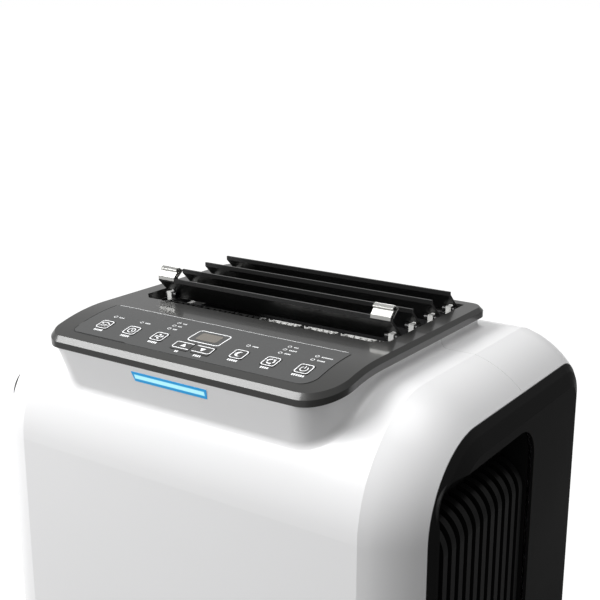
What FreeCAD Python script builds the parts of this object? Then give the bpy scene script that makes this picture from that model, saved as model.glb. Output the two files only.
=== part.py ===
"""Portable air conditioner and dehumidifier: white casing, black side intakes, and a top deck
with control keys and a louvred outlet. Millimetres, +Z up, front is -Y, +X is the right side.
The origin is on the floor under the middle of the casing. Everything is drawn at rest: louvres
open, keys up, filter in."""
import FreeCAD
import Part
import math
import os

V = FreeCAD.Vector
X_AXIS = V(1, 0, 0)
Y_AXIS = V(0, 1, 0)
Z_AXIS = V(0, 0, 1)

# Casing: a side profile (front plane, round front top, flat top, round rear top) swept by an edge band
HALF_WIDTH = 210.0
FRONT_Y = -152.0
REAR_Y = 152.0
TOP_Z = 642.0
BOTTOM_Z = 45.0
FRONT_ROUND = 88.0
REAR_ROUND = 55.0
WALL = 2.5
CREASE_X = 161.5
CREASE_ANGLE = 13.0
BAND_RADIUS = 81.8
BAND_END_ANGLE = 46.6
PANEL_CREASE = (206.0, 29.0)
PANEL_FLAT_IN = 41.0
SPLIT_X = 202.0
COVER_SEAM_Y = 17.0
SEAM = 0.3

# Raised podium under the deck
PODIUM_TOP_Z = 660.0
PODIUM_LOW_Z = 590.0
PODIUM_FRONT_AT_RIM = -146.5
RIM_FRONT_Z = 638.5
PODIUM_LEAN = 0.323
PODIUM_REAR_Y = 92.0
PODIUM_HALF = 133.0
PODIUM_DRAFT = 2.0
PODIUM_BLEND = 6.0

# Control deck
DECK_Z = 660.0
DECK_HALF = 136.5
DECK_FRONT_Y = -146.7
DECK_REAR_Y = 93.7
DECK_FRONT_RADIUS = 30.0
DECK_LEFT_RADIUS = 16.0
DECK_REAR_RADIUS = 14.0
DECK_THICK = 8.2
DECK_BEVEL = 3.2
DECK_SKIN = 3.0
BEND_Y = -80.0
BEND_RADIUS = 180.0
OPENING_HALF = 119.75
OPENING_FRONT_Y = -50.0
OPENING_REAR_Y = 81.5
OPENING_CHAMFER = 9.0

# Overlay, keys and display
OVERLAY_LEFT = -115.0
OVERLAY_RIGHT = 113.0
OVERLAY_FRONT_Y = -136.0
OVERLAY_REAR_Y = -82.0
OVERLAY_PROUD = 0.4
BOARD_DROP = 4.6
SWITCH_HEIGHT = 1.2
KEY_SIZE = 12.4
KEY_GAP = 0.3
KEY_Y = -119.7
KEYS = {
    "key_swing": (-93.4, KEY_Y, KEY_SIZE),
    "key_timer": (-65.1, KEY_Y, KEY_SIZE),
    "key_speed": (-36.7, KEY_Y, KEY_SIZE),
    "key_up": (-9.4, -124.0, 17.0),
    "key_down": (10.4, -124.0, 17.0),
    "key_sleep": (39.9, KEY_Y, KEY_SIZE),
    "key_mode": (68.5, KEY_Y, KEY_SIZE),
    "key_power": (97.1, KEY_Y, KEY_SIZE),
}
DISPLAY = (2.0, -106.7, 20.0, 11.5)
LED_SPOTS = [
    (-95.5, -105.2), (-67.6, -105.2), (-39.0, -93.4), (-39.0, -99.4), (-39.0, -105.4),
    (37.9, -105.4), (66.5, -93.6), (66.5, -99.6), (66.5, -105.6), (94.5, -99.4), (94.5, -105.4),
]

# Light bar set in the podium's front face: half lengths at its top and bottom edges
LIGHT_X = -6.8
LIGHT_TOP = (36.5, 634.3)
LIGHT_BOTTOM = (35.1, 626.0)
LIGHT_DEPTH = 2.0
LIGHT_PROUD = 0.3

# Louvres: four blades, drawn open, each turning about its own pin along X
LOUVRE_COUNT = 4
LOUVRE_PITCH = 31.4
LOUVRE_FIRST_Y = -30.8
LOUVRE_HALF = 115.5
LIP = 2.5
BLADE_THICK = 2.0
BLADE_FRONT = 18.0
BLADE_REAR = 10.4
BLADE_REAR_LAST = 6.0
PIVOT_DY = 10.5
PIVOT_Z = 656.5
CHORD_OFFSET = 3.2
PIN_RADIUS = 2.0
RUNNING = 0.06
BUSH_HALF = 3.6
BUSH_RISE = 3.0
BUSH_IN = 108.4
BUSH_OUT = 113.0
RAIL_LOW_Z = 639.0
RAIL_HIGH_Z = 643.5
CRANK_ARM = 8.0
CRANK_X = (114.2, 116.4)
LINK_X = (117.0, 119.2)
MOTOR_CRANK_Z = 625.0

# Upright vanes below the louvres
VANE_COUNT = 7
VANE_PITCH = 34.5
VANE_PIVOT_Y = -41.0
VANE_LEVER = 15.5
VANE_LOW_Z = 634.0
VANE_TOP_Z = 655.0
VANE_STEP_Z = 650.5
VANE_THICK = 2.0

# Outlet duct
DUCT_WALL = 2.2
DUCT_TOP_Z = 649.0
DUCT_NECK_Z = 612.0
DUCT_LOW_Z = 562.0
DUCT_LOW_HALF = 79.0

# Side panels: intake pocket, ribs and hand recess
POCKET_FRONT_Y = -121.0
POCKET_REAR_Y = 26.5
POCKET_TOP_Z = 594.0
POCKET_LOW_Z = 120.0
POCKET_CORNER = 20.0
POCKET_REAR_CORNER = 27.0
POCKET_FLOOR_X = 180.0
POCKET_WALL = 1.8
POCKET_TO_RIB = 12.0
RIB_COUNT = 11
RIB_PITCH = 12.4
RIB_WIDTH = 6.4
RIB_FACE_X = 205.5
RIB_DEPTH = 7.0
RIB_BEND_Z = 541.0
RIB_BEND_RADIUS = 24.0

# Rear panel
REAR_HALF = 150.0
REAR_LOW_Z = 84.0
REAR_HIGH_Z = 575.0
REAR_FACE_Y = 151.4
FILTER_HALF = 120.0
FILTER_LOW_Z = 392.0
FILTER_HIGH_Z = 560.0
EXHAUST_RADIUS = 65.0
EXHAUST_Z = 290.0

# Blowers
UPPER_AXIS = (15.0, 452.0)
LOWER_AXIS = (-20.0, 250.0)
SHAFT_RADIUS = 4.0

# Compressor
COMPRESSOR_AT = (-122.0, -40.0)

# Casters
CASTER_X = 165.0
CASTER_Y = 112.0
CASTER_TRAIL = 14.0
WHEEL_RADIUS = 17.0
WHEEL_HALF = 9.0


def box(x0, x1, y0, y1, z0, z1):
    return Part.makeBox(x1 - x0, y1 - y0, z1 - z0, V(x0, y0, z0))


def cylinder(radius, length, at, along):
    return Part.makeCylinder(radius, length, V(*at), along)


def prism(points, along):
    wire = Part.makePolygon([V(*p) for p in points] + [V(*points[0])])
    return Part.Face(wire).extrude(along)


def one(shape):
    """Merge split faces and return a plain solid where there is only one."""
    clean = shape.removeSplitter()
    return clean.Solids[0] if len(clean.Solids) == 1 else clean


def mirror_x(shape):
    return shape.mirror(V(0, 0, 0), X_AXIS)


def fuse_all(shapes):
    return shapes[0].multiFuse(shapes[1:])


def rounded_rectangle(x0, x1, y0, y1, z, right, rear, left):
    """Closed wire at height z: corner radii for front right, both at the rear, and front left."""
    def arc(cx, cy, radius, start):
        a0 = math.radians(start)
        points = [V(cx + radius * math.cos(a), cy + radius * math.sin(a), z)
                  for a in (a0, a0 + math.pi / 4, a0 + math.pi / 2)]
        return Part.Arc(*points).toShape(), points[0], points[2]
    corners = [
        arc(x1 - right, y0 + right, right, 270),
        arc(x1 - rear, y1 - rear, rear, 0),
        arc(x0 + rear, y1 - rear, rear, 90),
        arc(x0 + left, y0 + left, left, 180),
    ]
    edges = []
    for k, (edge, _, end) in enumerate(corners):
        edges.append(edge)
        edges.append(Part.makeLine(end, corners[(k + 1) % 4][1]))
    return Part.Wire(edges)


def plate(x0, x1, y0, y1, z0, z1, right, rear, left):
    wire = rounded_rectangle(x0, x1, y0, y1, z0, right, rear, left)
    return Part.Face(wire).extrude(V(0, 0, z1 - z0))


# ---- casing -------------------------------------------------------------------------------

def edge_band(inset):
    """Half section of the casing as (x, depth below the outer profile) points and arcs."""
    a0 = math.radians(CREASE_ANGLE)
    a1 = math.radians(BAND_END_ANGLE)
    cx = CREASE_X - BAND_RADIUS * math.sin(a0)
    cn = -BAND_RADIUS * math.cos(a0)
    radius = BAND_RADIUS - inset
    angles = (a0, (a0 + a1) / 2, a1)
    arc = [(cx + radius * math.sin(a), cn + radius * math.cos(a)) for a in angles]
    crease = (PANEL_CREASE[0] - 0.95 * inset, -PANEL_CREASE[1] - 0.43 * inset)
    flat = (HALF_WIDTH - inset, -PANEL_FLAT_IN)
    return arc, crease, flat


def section(inset, depth, place):
    """Closed face of the casing's cross-section; place maps (x, n) to a point, n outward."""
    arc, crease, flat = edge_band(inset)
    right = [place(*p) for p in arc]
    left = [place(-x, n) for x, n in arc]
    edges = [
        Part.makeLine(left[0], right[0]),
        Part.Arc(*right).toShape(),
        Part.makeLine(right[2], place(*crease)),
        Part.makeLine(place(*crease), place(*flat)),
        Part.makeLine(place(*flat), place(flat[0], -depth)),
        Part.makeLine(place(flat[0], -depth), place(-flat[0], -depth)),
        Part.makeLine(place(-flat[0], -depth), place(-flat[0], flat[1])),
        Part.makeLine(place(-flat[0], flat[1]), place(-crease[0], crease[1])),
        Part.makeLine(place(-crease[0], crease[1]), left[2]),
        Part.Arc(left[2], left[1], left[0]).toShape(),
    ]
    return Part.Face(Part.Wire(edges))


def envelope(inset):
    """The whole casing as a solid, set in by inset."""
    front_axis = (FRONT_Y + FRONT_ROUND, TOP_Z - FRONT_ROUND)
    rear_axis = (REAR_Y - REAR_ROUND, TOP_Z - REAR_ROUND)

    def front(x, n):
        return V(x, FRONT_Y - n, BOTTOM_Z)

    def top(x, n):
        return V(x, front_axis[0], TOP_Z + n)

    def rear(x, n):
        return V(x, REAR_Y + n, BOTTOM_Z)

    def rear_top(x, n):
        return V(x, rear_axis[0], TOP_Z + n)

    width = HALF_WIDTH - inset
    parts = [
        section(inset, FRONT_ROUND, front).extrude(V(0, 0, front_axis[1] - BOTTOM_Z)),
        section(inset, FRONT_ROUND, top).revolve(V(0, *front_axis), X_AXIS, 90),
        section(inset, FRONT_ROUND, top).extrude(V(0, rear_axis[0] - front_axis[0], 0)),
        section(inset, REAR_ROUND, rear_top).revolve(V(0, *rear_axis), X_AXIS, -90),
        section(inset, REAR_ROUND, rear).extrude(V(0, 0, rear_axis[1] - BOTTOM_Z)),
        box(-width, width, front_axis[0], rear_axis[0], BOTTOM_Z, TOP_Z - FRONT_ROUND),
    ]
    return fuse_all(parts)


def podium(inset):
    """Block under the deck: sides with draft, and a front that leans in as it goes down.
    Its front right corner is rounder than its front left one, like the deck's."""
    def outline(z):
        grow = (z - PODIUM_LOW_Z) / (PODIUM_TOP_Z - PODIUM_LOW_Z)
        half = PODIUM_HALF - PODIUM_DRAFT * (1 - grow) - inset
        front = PODIUM_FRONT_AT_RIM + (RIM_FRONT_Z - z) * PODIUM_LEAN + inset
        rear = PODIUM_REAR_Y - PODIUM_DRAFT * (1 - grow) - inset
        right = 34 - 6 * grow - inset
        left = 27 - 12 * grow - inset
        return rounded_rectangle(-half, half, front, rear, z, right, 14 - inset, left)
    return Part.makeLoft([outline(PODIUM_LOW_Z), outline(PODIUM_TOP_Z)], True, True)


def deck_surface(y):
    """Height of the deck's top face: flat at the rear, then rolling down to the front edge."""
    if y > BEND_Y:
        return DECK_Z
    return DECK_Z - BEND_RADIUS + math.sqrt(BEND_RADIUS ** 2 - (y - BEND_Y) ** 2)


def below_deck(drop, half=150.0):
    """Everything lower than the deck's top face moved down by drop."""
    end_y = -200.0
    mid_y = -140.0
    low_z = 560.0

    def at(y):
        return V(-half, y, deck_surface(y) - drop)

    edges = [
        Part.makeLine(V(-half, end_y, low_z), at(end_y)),
        Part.Arc(at(end_y), at(mid_y), at(BEND_Y)).toShape(),
        Part.makeLine(at(BEND_Y), at(150)),
        Part.makeLine(at(150), V(-half, 150, low_z)),
        Part.makeLine(V(-half, 150, low_z), V(-half, end_y, low_z)),
    ]
    return Part.Face(Part.Wire(edges)).extrude(V(2 * half, 0, 0))


def outlet_opening(grow, z0, z1):
    """Prism of the outlet: a rectangle with chamfered front corners."""
    x = OPENING_HALF + grow
    y0 = OPENING_FRONT_Y - grow
    y1 = OPENING_REAR_Y + grow
    c = OPENING_CHAMFER
    points = [(-x, y1), (-x, y0 + c), (-x + c, y0), (x - c, y0), (x, y0 + c), (x, y1)]
    return prism([(px, py, z0) for px, py in points], V(0, 0, z1 - z0))


def light_prism(depth, proud, shrink):
    """Prism of the light bar, square to the podium's front face."""
    normal = V(0, -1, -PODIUM_LEAN)
    normal.normalize()
    points = []
    for half, z, side in ((LIGHT_TOP[0], LIGHT_TOP[1], 1), (LIGHT_BOTTOM[0], LIGHT_BOTTOM[1], -1)):
        face_y = PODIUM_FRONT_AT_RIM + (RIM_FRONT_Z - z) * PODIUM_LEAN
        row = [V(LIGHT_X + s * side * (half - shrink), face_y, z - side * shrink) for s in (-1, 1)]
        points += row
    lifted = [p + normal * proud for p in points]
    return prism([tuple(p) for p in lifted], normal * -(proud + depth))


def blended(casing, raised):
    """Casing and podium in one, with a soft hollow where the podium rises out of the casing."""
    casing = casing.removeSplitter()
    whole = casing.fuse(raised)
    valley = []
    for edge in whole.Edges:
        middle = Part.Vertex(edge.valueAt((edge.FirstParameter + edge.LastParameter) / 2))
        gaps = [shape.Shells[0].distToShape(middle)[0] for shape in (casing, raised)]
        if max(gaps) < 0.01:
            valley.append(edge)
    return whole.makeFillet(PODIUM_BLEND, valley)


def casing_shell():
    """The white and black outer wall as one shell, before it is split into covers and panels."""
    outer = blended(envelope(0), podium(0).common(below_deck(DECK_THICK)))
    inner = envelope(WALL).fuse(podium(WALL).common(below_deck(DECK_THICK + WALL)))
    open_bottom = box(-195, 195, -140, 140, BOTTOM_Z - 1, BOTTOM_Z + 5)
    shell = outer.cut([inner, open_bottom])
    x = OPENING_HALF + 3.5
    well = box(-x, x, OPENING_FRONT_Y - 3.5, OPENING_REAR_Y + 3.5, 600, 670)
    return shell.cut([well, light_prism(LIGHT_DEPTH, 5, 0)])


def white_covers(shell):
    """Front cover and rear cover, split across the casing just behind the middle."""
    x = SPLIT_X - SEAM / 2
    front = shell.common(box(-x, x, -200, COVER_SEAM_Y - SEAM / 2, 0, 700))
    rear = shell.common(box(-x, x, COVER_SEAM_Y + SEAM / 2, 200, 0, 700))
    rear = rear.cut(box(-REAR_HALF, REAR_HALF, 140, 160, REAR_LOW_Z, REAR_HIGH_Z))
    ledge = box(-REAR_HALF - 6, REAR_HALF + 6, 146.9, 149.7, REAR_LOW_Z - 6, REAR_HIGH_Z + 6)
    window = box(-REAR_HALF + 6, REAR_HALF - 6, 140, 160, REAR_LOW_Z + 6, REAR_HIGH_Z - 6)
    seat = box(-REAR_HALF, REAR_HALF, 149.0, 160, REAR_LOW_Z, REAR_HIGH_Z)
    return one(front), one(rear.fuse(ledge.cut([window, seat])))


def pocket_prism(grow, x0, x1):
    """The intake pocket of the right side panel as a prism along X, with cut-off corners."""
    y0 = POCKET_FRONT_Y - grow
    y1 = POCKET_REAR_Y + grow
    z0 = POCKET_LOW_Z - grow
    z1 = POCKET_TOP_Z + grow
    body = box(x0, x1, y0, y1, z0, z1)
    along_x = [e for e in body.Edges if abs(e.Vertexes[0].X - e.Vertexes[1].X) > 1]
    front = [e for e in along_x if e.Vertexes[0].Y < y1 - 1]
    body = body.makeFillet(POCKET_CORNER + grow, front)
    along_x = [e for e in body.Edges if abs(e.Vertexes[0].X - e.Vertexes[1].X) > 1]
    rear = [e for e in along_x if e.Vertexes[0].Y > y1 - 0.01]
    return body.makeFillet(POCKET_REAR_CORNER + grow, rear)


def side_panel(shell):
    """Right side panel: the casing's side wall with a pocket sunk into it."""
    wall = shell.common(box(SPLIT_X + SEAM / 2, 220, -200, 200, 0, 700))
    sleeve = pocket_prism(POCKET_WALL, POCKET_FLOOR_X, PANEL_CREASE[0] - 1)
    room = envelope(WALL + 0.4).fuse(box(SPLIT_X + SEAM / 2, 220, -200, 200, 0, 700))
    sleeve = sleeve.cut(pocket_prism(0, POCKET_FLOOR_X - 1, 220)).common(room)
    grip_floor = box(POCKET_FLOOR_X, POCKET_FLOOR_X + WALL, POCKET_FRONT_Y - 1, POCKET_REAR_Y + 1,
                     RIB_BEND_Z, POCKET_TOP_Z + 1)
    grip_floor = grip_floor.common(pocket_prism(1, 170, 200))
    return one(wall.cut(pocket_prism(0, 170, 220)).fuse([sleeve, grip_floor]))


def side_grille():
    """Upright ribs whose tops bend inward under the hand recess, tied by three cross bars."""
    low = POCKET_LOW_Z + 0.4
    inner_x = RIB_FACE_X - RIB_DEPTH
    centre_x = RIB_FACE_X - RIB_BEND_RADIUS
    end_x = POCKET_FLOOR_X + WALL + 0.3
    small = RIB_BEND_RADIUS - RIB_DEPTH
    s = math.sqrt(0.5)

    def at(x, z):
        return V(x, 0, z)

    top = RIB_BEND_Z + RIB_BEND_RADIUS
    edges = [
        Part.makeLine(at(RIB_FACE_X, low), at(RIB_FACE_X, RIB_BEND_Z)),
        Part.Arc(at(RIB_FACE_X, RIB_BEND_Z),
                 at(centre_x + RIB_BEND_RADIUS * s, RIB_BEND_Z + RIB_BEND_RADIUS * s),
                 at(centre_x, top)).toShape(),
        Part.makeLine(at(centre_x, top), at(centre_x, top - RIB_DEPTH)),
        Part.Arc(at(centre_x, RIB_BEND_Z + small),
                 at(centre_x + small * s, RIB_BEND_Z + small * s),
                 at(inner_x, RIB_BEND_Z)).toShape(),
        Part.makeLine(at(inner_x, RIB_BEND_Z), at(inner_x, low)),
        Part.makeLine(at(inner_x, low), at(RIB_FACE_X, low)),
    ]
    profile = Part.Face(Part.Wire(edges))
    rib = profile.extrude(V(0, RIB_WIDTH, 0))
    trim = box(end_x, 220, -200, 200, 0, 700).common(pocket_prism(-0.3, 170, 220))
    first = POCKET_FRONT_Y + POCKET_TO_RIB
    ribs = []
    for k in range(RIB_COUNT):
        move = V(0, first + k * RIB_PITCH - RIB_WIDTH / 2, 0)
        ribs.append(rib.translated(move))
    bars = []
    for z in (low, 260.0, 400.0, RIB_BEND_Z - 6):
        bars.append(box(inner_x - 3, inner_x + 1, POCKET_FRONT_Y, POCKET_REAR_Y, z, z + 6))
    return one(fuse_all(ribs + bars).common(trim))


# ---- deck, overlay, keys --------------------------------------------------------------------

def deck_slab(inset, drop_top, drop_low):
    """Slice of the deck between two depths below its top face, its outline set in by inset."""
    outline = plate(-DECK_HALF + inset, DECK_HALF - inset, DECK_FRONT_Y + inset,
                    DECK_REAR_Y - inset, 600, 700, DECK_FRONT_RADIUS - inset,
                    DECK_REAR_RADIUS - inset, DECK_LEFT_RADIUS - inset)
    return outline.common(below_deck(drop_top)).cut(below_deck(drop_low))


def deck_normal(y):
    """Direction straight up out of the deck's face at y."""
    slope = math.asin(max(0.0, (BEND_Y - y) / BEND_RADIUS))
    return V(0, -math.sin(slope), math.cos(slope))


def face_prism(x, y, width, height, top, bottom, corner=2.0):
    """Rounded block square to the deck's face at (x, y), from height top down to bottom."""
    block = box(-width / 2, width / 2, -height / 2, height / 2, bottom, top)
    upright = [e for e in block.Edges if abs(e.Vertexes[0].Z - e.Vertexes[1].Z) > 0.01]
    block = block.makeFillet(corner, upright)
    turn = FreeCAD.Rotation(Z_AXIS, deck_normal(y))
    return block.transformed(FreeCAD.Placement(V(x, y, deck_surface(y)), turn).toMatrix())


def key_holes():
    holes = []
    for x, y, width in KEYS.values():
        holes.append(face_prism(x, y, width + 2 * KEY_GAP, KEY_SIZE + 2 * KEY_GAP, 3, -4.5))
    return holes


def led_posts(radius, top, bottom):
    posts = []
    for x, y in LED_SPOTS:
        normal = deck_normal(y)
        start = V(x, y, deck_surface(y)) + normal * bottom
        posts.append(Part.makeCylinder(radius, top - bottom, start, normal))
    return posts


def control_deck():
    """Moulded top plate: thin skin with a rim, a collar round the outlet and a bevelled edge."""
    slab = deck_slab(0, 0, DECK_THICK)
    rim_edges = []
    for edge in slab.Edges:
        middle = edge.valueAt((edge.FirstParameter + edge.LastParameter) / 2)
        across = abs(edge.Vertexes[0].X - edge.Vertexes[-1].X) > 2 * DECK_HALF - 40
        if abs(deck_surface(middle.y) - middle.z) < 0.1 and not (across and abs(middle.y - BEND_Y) < 1):
            rim_edges.append(edge)
    slab = slab.makeChamfer(DECK_BEVEL, rim_edges)
    hollow = deck_slab(3.0, DECK_SKIN, DECK_THICK + 1).cut(outlet_opening(3.0, 600, 700))
    overlay_seat = overlay_block(0.1, 2, -0.4)
    cuts = [hollow, outlet_opening(0, 600, 700), overlay_seat]
    cuts += key_holes()
    cuts += led_posts(1.6, 3, -4.5)
    cuts.append(face_prism(*DISPLAY[:2], DISPLAY[2] + 0.2, DISPLAY[3] + 0.2, 3, -4.5))
    return one(slab.cut(cuts))


def overlay_block(grow, top, bottom):
    outline = plate(OVERLAY_LEFT - grow, OVERLAY_RIGHT + grow, OVERLAY_FRONT_Y - grow,
                    OVERLAY_REAR_Y + grow, 600, 700, 12, 3, 5)
    return outline.common(below_deck(-top)).cut(below_deck(-bottom))


def control_overlay():
    """Printed film on the sloping part of the deck, with windows for keys, lamps and display."""
    film = overlay_block(0, OVERLAY_PROUD, -0.4)
    cuts = key_holes() + led_posts(1.3, 3, -3)
    cuts.append(face_prism(*DISPLAY, 3, -3))
    return one(film.cut(cuts))


def display_window():
    width = DISPLAY[2] - 0.2
    height = DISPLAY[3] - 0.2
    return face_prism(*DISPLAY[:2], width, height, OVERLAY_PROUD + 0.05, -2.5, 1.9)


def key_cap(x, y, width):
    """Key cap with a short stem that stands over its switch."""
    cap = face_prism(x, y, width, KEY_SIZE, OVERLAY_PROUD + 0.35, -2.2, 1.8)
    normal = deck_normal(y)
    stem = Part.makeCylinder(1.8, 2.2, V(x, y, deck_surface(y)) - normal * 3.7, normal)
    return cap.fuse(stem)


def board_matrix():
    """Placement of the flat control board under the deck's slope."""
    front = V(0, OVERLAY_FRONT_Y + 2, deck_surface(OVERLAY_FRONT_Y + 2) - BOARD_DROP)
    rear = V(0, OVERLAY_REAR_Y - 2, deck_surface(OVERLAY_REAR_Y - 2) - BOARD_DROP)
    tilt = math.degrees(math.atan2(rear.z - front.z, rear.y - front.y))
    return FreeCAD.Placement(front, FreeCAD.Rotation(X_AXIS, tilt)), (rear - front).Length


def control_board():
    """Circuit board with a switch under each key and a lamp under each lamp window."""
    place, length = board_matrix()
    board = box(OVERLAY_LEFT + 2, OVERLAY_RIGHT - 2, 0, length, -0.7, 0.7)
    parts = [board]
    back = place.inverse()
    for x, y, _ in KEYS.values():
        at = back.multVec(V(x, y, deck_surface(y)))
        parts.append(box(x - 3, x + 3, at.y - 3, at.y + 3, 0.6, SWITCH_HEIGHT))
    whole = fuse_all(parts).transformed(place.toMatrix())
    lamps = led_posts(1.2, OVERLAY_PROUD - 0.1, -6.2)
    return one(whole.multiFuse(lamps))


def light_bar():
    return light_prism(LIGHT_DEPTH - 0.3, LIGHT_PROUD, 0.25)


# ---- louvres --------------------------------------------------------------------------------

def louvre_pivot(k):
    return V(0, LOUVRE_FIRST_Y + k * LOUVRE_PITCH + PIVOT_DY, PIVOT_Z)


def louvre_turned(points, k):
    """Points given as (along the chord, above the pivot) on a closed blade, turned to rest."""
    s = math.sqrt(0.5)
    pivot = louvre_pivot(k)
    return [(pivot.y + s * (a + h), pivot.z + s * (h - a)) for a, h in points]


def louvre_profile(k):
    rear = BLADE_REAR_LAST if k == LOUVRE_COUNT - 1 else BLADE_REAR
    low = CHORD_OFFSET - BLADE_THICK / 2
    high = CHORD_OFFSET + BLADE_THICK / 2
    s = math.sqrt(0.5)
    lip = LIP * s
    points = [
        (-BLADE_FRONT, low), (rear - 0.8, low), (rear, low + 0.8), (rear, high),
        (-BLADE_FRONT + 0.8, high), (-BLADE_FRONT + 0.8 - lip, high + lip),
        (-BLADE_FRONT - 0.7 - lip, high + lip - 1.4), (-BLADE_FRONT - 0.7, low + 0.7),
    ]
    return louvre_turned(points, k)


def louvre(k):
    """Blade with a front lip, an end lug each side, and pins that turn in the white bushes."""
    yz = louvre_profile(k)
    blade = prism([(-LOUVRE_HALF, y, z) for y, z in yz], V(2 * LOUVRE_HALF, 0, 0))
    pivot = louvre_pivot(k)
    pieces = []
    notches = []
    for side in (-1, 1):
        start = BUSH_IN - 0.5 if side > 0 else -BUSH_OUT - 0.5
        notch = cylinder(BUSH_HALF + 1.4, BUSH_OUT - BUSH_IN + 1, (start, pivot.y, pivot.z), X_AXIS)
        notches.append(notch)
        pieces.append(cylinder(3.0, 3.0, (side * 106.2 - 1.5, pivot.y, pivot.z), X_AXIS))
        pieces.append(cylinder(3.0, 1.6, (side * 114.4 - 0.8, pivot.y, pivot.z), X_AXIS))
        length = 9.0
        pieces.append(cylinder(PIN_RADIUS, length, (side * 110.5 - length / 2, pivot.y, pivot.z), X_AXIS))
    crank = louvre_turned([(0, 0), (0, -CRANK_ARM)], k)
    arm = crank_arm(crank[0], crank[1], CRANK_X)
    pin = cylinder(1.5, LINK_X[1] - CRANK_X[0] - 0.4, (CRANK_X[0] + 0.4, *crank[1]), X_AXIS)
    return one(blade.cut(notches).multiFuse(pieces + [arm, pin]))


def crank_arm(start, end, x_range):
    """Flat arm with round ends between two (y, z) points."""
    x0, x1 = x_range
    width = 2.6
    dy = end[0] - start[0]
    dz = end[1] - start[1]
    size = math.hypot(dy, dz)
    ny = -dz / size * width
    nz = dy / size * width
    corners = [
        (x0, start[0] + ny, start[1] + nz), (x0, end[0] + ny, end[1] + nz),
        (x0, end[0] - ny, end[1] - nz), (x0, start[0] - ny, start[1] - nz),
    ]
    bar = prism(corners, V(x1 - x0, 0, 0))
    ends = [cylinder(width, x1 - x0, (x0, *p), X_AXIS) for p in (start, end)]
    return bar.multiFuse(ends)


def louvre_bushes():
    """White bush posts on a side rail, one rail each side of the outlet."""
    pieces = []
    for k in range(LOUVRE_COUNT):
        pivot = louvre_pivot(k)
        head = box(BUSH_IN, BUSH_OUT, pivot.y - BUSH_HALF, pivot.y + BUSH_HALF,
                   pivot.z - BUSH_HALF, pivot.z + BUSH_RISE)
        post = box(BUSH_IN, BUSH_OUT, pivot.y - BUSH_HALF, pivot.y + 1.2, RAIL_LOW_Z, pivot.z)
        pieces += [head, post]
        if k:
            rib = box(BUSH_IN, OPENING_HALF, pivot.y - 18, pivot.y - 14, RAIL_LOW_Z, RAIL_LOW_Z + 2)
            pieces.append(rib)
    start = louvre_pivot(0).y - BUSH_HALF
    end = louvre_pivot(LOUVRE_COUNT - 1).y + 1.2
    pieces.append(box(BUSH_IN, BUSH_OUT, start, end, RAIL_LOW_Z, RAIL_HIGH_Z))
    bores = []
    for k in range(LOUVRE_COUNT):
        pivot = louvre_pivot(k)
        bores.append(cylinder(PIN_RADIUS + RUNNING, 10, (BUSH_IN - 2, pivot.y, pivot.z), X_AXIS))
    rail = one(fuse_all(pieces).cut(bores))
    return Part.makeCompound([rail, mirror_x(rail)])


def louvre_clips():
    """Two clips of folded metal strip that grip the front blade's lip and stand up over it."""
    y, z = louvre_turned([(-BLADE_FRONT, CHORD_OFFSET + BLADE_THICK / 2 + LIP)], 0)[0]
    line = [(y - 3.1, z - 1.9), (y - 2.7, z + 0.9), (y + 1.5, z + 4.9), (y, z + 7.0), (y + 3.2, z + 8.2),
            (y + 7.8, z + 5.4), (y + 1.3, z + 0.7), (y + 1.3, z - 1.0)]
    thick = 0.7
    pieces = []
    for x0, x1 in ((-115.0, -98.0), (97.2, 114.6)):
        strips = []
        for (y0, z0), (y1, z1) in zip(line, line[1:]):
            size = math.hypot(y1 - y0, z1 - z0)
            ny = -(z1 - z0) / size * thick
            nz = (y1 - y0) / size * thick
            corners = [(x0, y0, z0), (x0, y1, z1), (x0, y1 + ny, z1 + nz), (x0, y0 + ny, z0 + nz)]
            strips.append(prism(corners, V(x1 - x0, 0, 0)))
        for y0, z0 in line[1:-1]:
            strips.append(cylinder(thick / 2, x1 - x0, (x0, y0, z0), X_AXIS))
        pieces.append(one(fuse_all(strips).cut(louvre(0))))
    return Part.makeCompound(pieces)


def louvre_link():
    """Bar that ties the four blades together, with a limb down to the swing motor's crank."""
    pins = [louvre_turned([(0, -CRANK_ARM)], k)[0] for k in range(LOUVRE_COUNT)]
    drive = (pins[0][0], pins[0][1] - (PIVOT_Z - MOTOR_CRANK_Z))
    bar = crank_arm(pins[0], pins[-1], LINK_X)
    knee = (pins[0][0], RAIL_LOW_Z - 4)
    upper = crank_arm(pins[0], knee, LINK_X)
    lower = crank_arm((knee[0], knee[1] + 2), drive, CRANK_X)
    step = cylinder(2.6, LINK_X[1] - CRANK_X[0], (CRANK_X[0], *knee), X_AXIS)
    holes = []
    for y, z in pins + [drive]:
        holes.append(cylinder(1.5 + RUNNING, 12, (CRANK_X[0] - 2, y, z), X_AXIS))
    return one(bar.multiFuse([upper, lower, step]).cut(holes))


def swing_crank():
    """Crank on the swing motor's shaft, with the same arm as the blades' own cranks."""
    pivot = louvre_pivot(0)
    start = (pivot.y, MOTOR_CRANK_Z)
    s = math.sqrt(0.5)
    end = (start[0] - CRANK_ARM * s, start[1] - CRANK_ARM * s)
    arm = crank_arm(start, end, LINK_X)
    pin = cylinder(1.5, LINK_X[1] - CRANK_X[0] - 0.4, (CRANK_X[0], *end), X_AXIS)
    shaft = cylinder(2.0, 12, (LINK_X[0] + 1, *start), X_AXIS)
    return one(arm.multiFuse([pin, shaft]))


def swing_motor():
    pivot = louvre_pivot(0)
    start = OPENING_HALF + DUCT_WALL + 0.3
    can = cylinder(14, 18, (start, pivot.y, MOTOR_CRANK_Z), X_AXIS)
    ears = box(start, start + 1.5, pivot.y - 20, pivot.y + 20, MOTOR_CRANK_Z - 4, MOTOR_CRANK_Z + 4)
    bore = cylinder(2.0 + RUNNING, 14, (start - 1, pivot.y, MOTOR_CRANK_Z), X_AXIS)
    return one(can.fuse(ears).cut(bore))


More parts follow.
